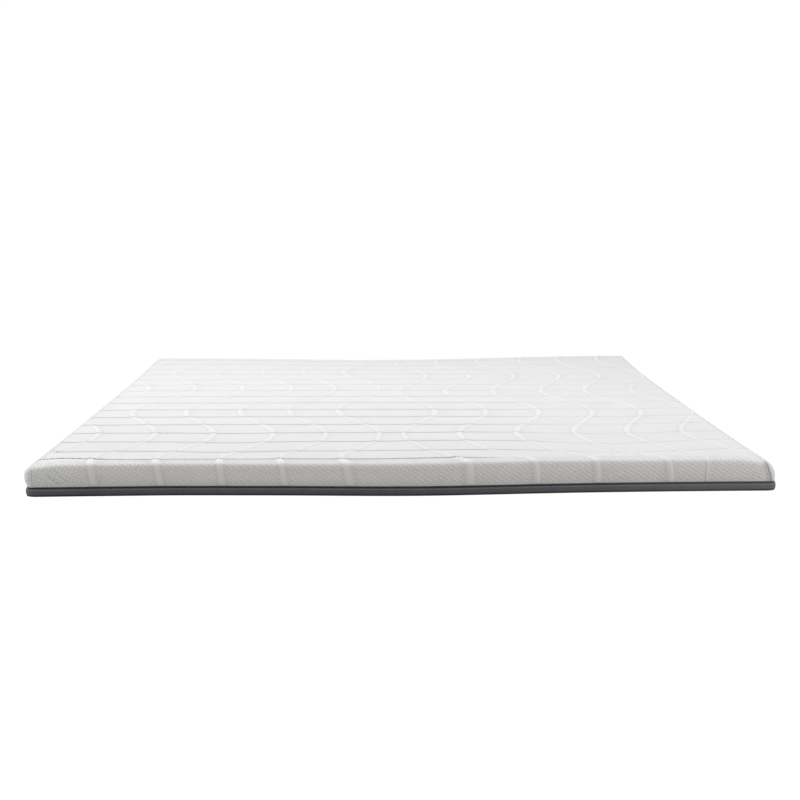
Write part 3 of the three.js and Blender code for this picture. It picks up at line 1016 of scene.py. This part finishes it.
# The strips round the foot of the mattress
strips = {"pitch": 14, "cornerSteps": 10, "outerFrom": -4, "waveSeed": 3.1, "waveTall": 0.05}
woven = {
    "turn": 38, "distortion": 0.8, "broadScale": 26, "fuzzScale": 1400,
    "rightLightFrom": 0.0, "rightLightTo": 0.72, "rightLightShare": 0.2,   # painted light: the cloth is mixed paler towards the right, where more light falls
}
tape = {
    "section": [(-9.2, 18.2), (-9.2, 15.6), (-4.9, 15.6), (-3.9, 16.1), (-3.5, 17), (-3.9, 17.9),
                (-5, 18.2)],
}
band = {
    "section": [(-9.2, 15.3), (-9.2, 2.2), (-3.4, 2.2), (-2.3, 2.6), (-1.6, 3.8), (-1.3, 6.2), (-1.2, 9.4),
                (-1.5, 12.4), (-2.1, 14.3), (-3.2, 15.2), (-4.6, 15.3)],
    "wave": 0.35, "waveScale": 0.045,
}
panel = {"edge": -2.6, "top": 2, "round": 0.6}


def outlineSpots():
    # even steps round the plan: place on the corner arcs' centre line, outward normal
    straightX = plan["halfWidth"] - plan["corner"]
    foot, head = plan["foot"] + plan["corner"], plan["head"] - plan["corner"]
    centres = [(straightX, foot, -0.5), (straightX, head, 0), (-straightX, head, 0.5),
               (-straightX, foot, 1)]
    spots = []
    for i, (x, y, turn) in enumerate(centres):
        for step in range(strips["cornerSteps"] + 1):
            angle = math.pi * (turn + 0.5 * step / strips["cornerSteps"])
            spots.append((x, y, math.cos(angle), math.sin(angle)))
        nextX, nextY, _ = centres[(i + 1) % 4]
        pieces = round(math.hypot(nextX - x, nextY - y) / strips["pitch"])
        for step in range(1, pieces):
            share = step / pieces
            spots.append((between(x, nextX, share), between(y, nextY, share),
                          math.cos(angle), math.sin(angle)))
    return spots


def ringPlace(spot, out, height):
    x, y, nx, ny = spot
    reach = plan["corner"] + out
    return settle(x + nx * reach, y + ny * reach, height)


def makeStrip(name, section, material, wave=0, waveScale=1):
    # a ring that follows the outline is drawn up and round the section, and closed on itself
    spots = outlineSpots()
    count = len(spots)
    bm = bmesh.new()
    ring = bmesh.ops.create_circle(bm, segments=count, radius=1)["verts"]
    firstEdges = list(bm.edges)
    length = [0.0]
    for i in range(count):
        step = ringPlace(spots[(i + 1) % count], 0, 0) - ringPlace(spots[i], 0, 0)
        length.append(length[-1] + step.length)
    edges, rings = firstEdges, []
    for k, (out, height) in enumerate(section):
        if k:
            ring = growRing(bm, ring, edges)
            edges = ringEdges(bm, ring)
        isOuter = out > strips["outerFrom"]
        for i, (vert, spot) in enumerate(zip(ring, spots)):
            at = Vector((length[i] / waveScale, height * strips["waveTall"], strips["waveSeed"]))
            push = wave * noise.noise(at) if isOuter else 0
            vert.co = ringPlace(spot, out + push, height)
        rings.append(ring)
    bmesh.ops.bridge_loops(bm, edges=firstEdges + edges)
    bmesh.ops.recalc_face_normals(bm, faces=bm.faces)
    wrap = bm.loops.layers.uv.new("fabric")
    where = {vert: i for ring in rings for i, vert in enumerate(ring)}
    for face in bm.faces:
        isSeam = {0, count - 1} <= {where[v] for v in face.verts}
        for loop in face.loops:
            i = where[loop.vert]
            along = length[count] if isSeam and i == 0 else length[i]
            loop[wrap].uv = (along, loop.vert.co.z)
    return makeObject(name, bm, [material])


def wovenMaterial(name, low, high, weave, sheen, wrapped=True):
    material, tree, shader = newMaterial(
        name, Sheen_Weight=sheen, Sheen_Roughness=0.5, Specular_IOR_Level=0.3)
    place = addNode(tree, "UVMap", uv_map="fabric").outputs[0] if wrapped else objectPlace(tree)
    threads = []
    for turn in (woven["turn"], -woven["turn"]):
        turned = addNode(tree, "Mapping", {"Vector": place, "Rotation": (0, 0, math.radians(turn))})
        threads.append(addNode(tree, "TexWave", {
            "Vector": turned.outputs[0], "Scale": weave, "Distortion": woven["distortion"], "Detail": 1},
            wave_type="BANDS", bands_direction="X").outputs["Fac"])
    cloth = calc(tree, "MULTIPLY", threads[0], threads[1])
    broad = addNode(tree, "TexNoise", {
        "Vector": place, "Scale": woven["broadScale"], "Detail": 3, "Roughness": 0.6})
    fuzz = addNode(tree, "TexNoise", {"Vector": place, "Scale": woven["fuzzScale"], "Detail": 2})
    share = calc(tree, "MULTIPLY_ADD", cloth, 0.5, calc(tree, "MULTIPLY", broad.outputs["Fac"], 0.6))
    tone = ramp(tree, share, (0.1, low), (0.8, high))
    # painted light: each woven cloth is mixed paler towards the right of the bed
    acrossBed = addNode(tree, "SeparateXYZ", {0: objectPlace(tree)}).outputs["X"]
    rightLight = calc(tree, "SUBTRACT", 1.0, fade(tree, acrossBed, woven["rightLightFrom"], woven["rightLightTo"]))
    rightLight = calc(tree, "MULTIPLY", rightLight, woven["rightLightShare"])
    toned = mixColour(tree, rightLight, tone, colour(168, 171, 176))
    tree.links.new(toned, shader.inputs["Base Color"])
    tree.links.new(calc(tree, "MULTIPLY_ADD", fuzz.outputs["Fac"], 0.15, 0.78), shader.inputs["Roughness"])
    height = calc(tree, "MULTIPLY_ADD", cloth, 0.7, calc(tree, "MULTIPLY", fuzz.outputs["Fac"], 0.3))
    bump(tree, shader, height, 0.0004)
    return material


# the tape's near-black tone is partly its own dark colour, partly painted shade of the recess where the two
# covers meet
tapeMaterial = wovenMaterial("darkTape", colour(56, 58, 66), colour(77, 80, 89), 420, 0.1)
bandMaterial = wovenMaterial("greyBand", colour(88, 90, 97), colour(112, 114, 121), 230, 0.15)
panelMaterial = wovenMaterial("baseCloth", colour(40, 42, 48), colour(56, 58, 64), 230, 0.1, wrapped=False)

seamTape = makeStrip("seamTape", tape["section"], tapeMaterial)
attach(seamTape, "root")
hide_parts("seam_tape")

sideBand = makeStrip("sideBand", band["section"], bandMaterial, band["wave"], band["waveScale"])
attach(sideBand, "root")
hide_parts("side_band")


def makeBottomPanel():
    spots = outlineSpots()
    bm = bmesh.new()
    ring = bmesh.ops.create_circle(bm, segments=len(spots), radius=1, cap_ends=True)["verts"]
    for vert, spot in zip(ring, spots):
        vert.co = ringPlace(spot, panel["edge"], 0)
    thick = bmesh.ops.extrude_face_region(bm, geom=list(bm.faces))["geom"]
    for vert in (v for v in thick if isinstance(v, bmesh.types.BMVert)):
        vert.co.z = 0.001 * panel["top"]
    bmesh.ops.recalc_face_normals(bm, faces=bm.faces)
    rims = [edge for edge in bm.edges if any(len(f.verts) > 4 for f in edge.link_faces)]
    bmesh.ops.bevel(bm, geom=rims, offset=0.001 * panel["round"], segments=2, profile=0.5, affect="EDGES",
                    material=-1)
    return makeObject("bottomPanel", bm, [panelMaterial])


bottomPanel = makeBottomPanel()
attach(bottomPanel, "root")
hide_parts("bottom_panel")
print("tape, band and bottom panel are made")


# One row of light stitches on the band
bandStitches = {
    "pitch": 5.7, "length": 2.3, "width": 2.1, "height": 1.2, "out": -1.6, "at": 13.2,
    "pitchSpread": (0.97, 1.03), "tilt": 0.12,
}


def stitchSpots():
    spots = outlineSpots()
    dice = random.Random(23)
    size = [0.0005 * bandStitches[name] for name in ("length", "width", "height")]
    places = [ringPlace(spot, bandStitches["out"], bandStitches["at"]) for spot in spots]
    matrices = []
    walked, wanted = 0.0, 0.0
    for i, here in enumerate(places):
        there = places[(i + 1) % len(places)]
        run = (there - here).length
        while wanted < walked + run:
            share = (wanted - walked) / run
            normal = Vector((between(spots[i][2], spots[(i + 1) % len(spots)][2], share),
                             between(spots[i][3], spots[(i + 1) % len(spots)][3], share),
                             bandStitches["tilt"]))
            matrices.append(beadMatrix(here.lerp(there, share), there - here, normal, size))
            wanted += 0.001 * bandStitches["pitch"] * dice.uniform(*bandStitches["pitchSpread"])
        walked += run
    return matrices


stitchThread = threadMaterial(
    "stitchThread", 1600, colour(160, 163, 170), colour(190, 193, 199), None,
    Sheen_Weight=0.1, Roughness=0.7)
stitches = scatterBeads("bandStitches", stitchSpots(), stitchThread)
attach(stitches, "root")
print("the band is stitched")
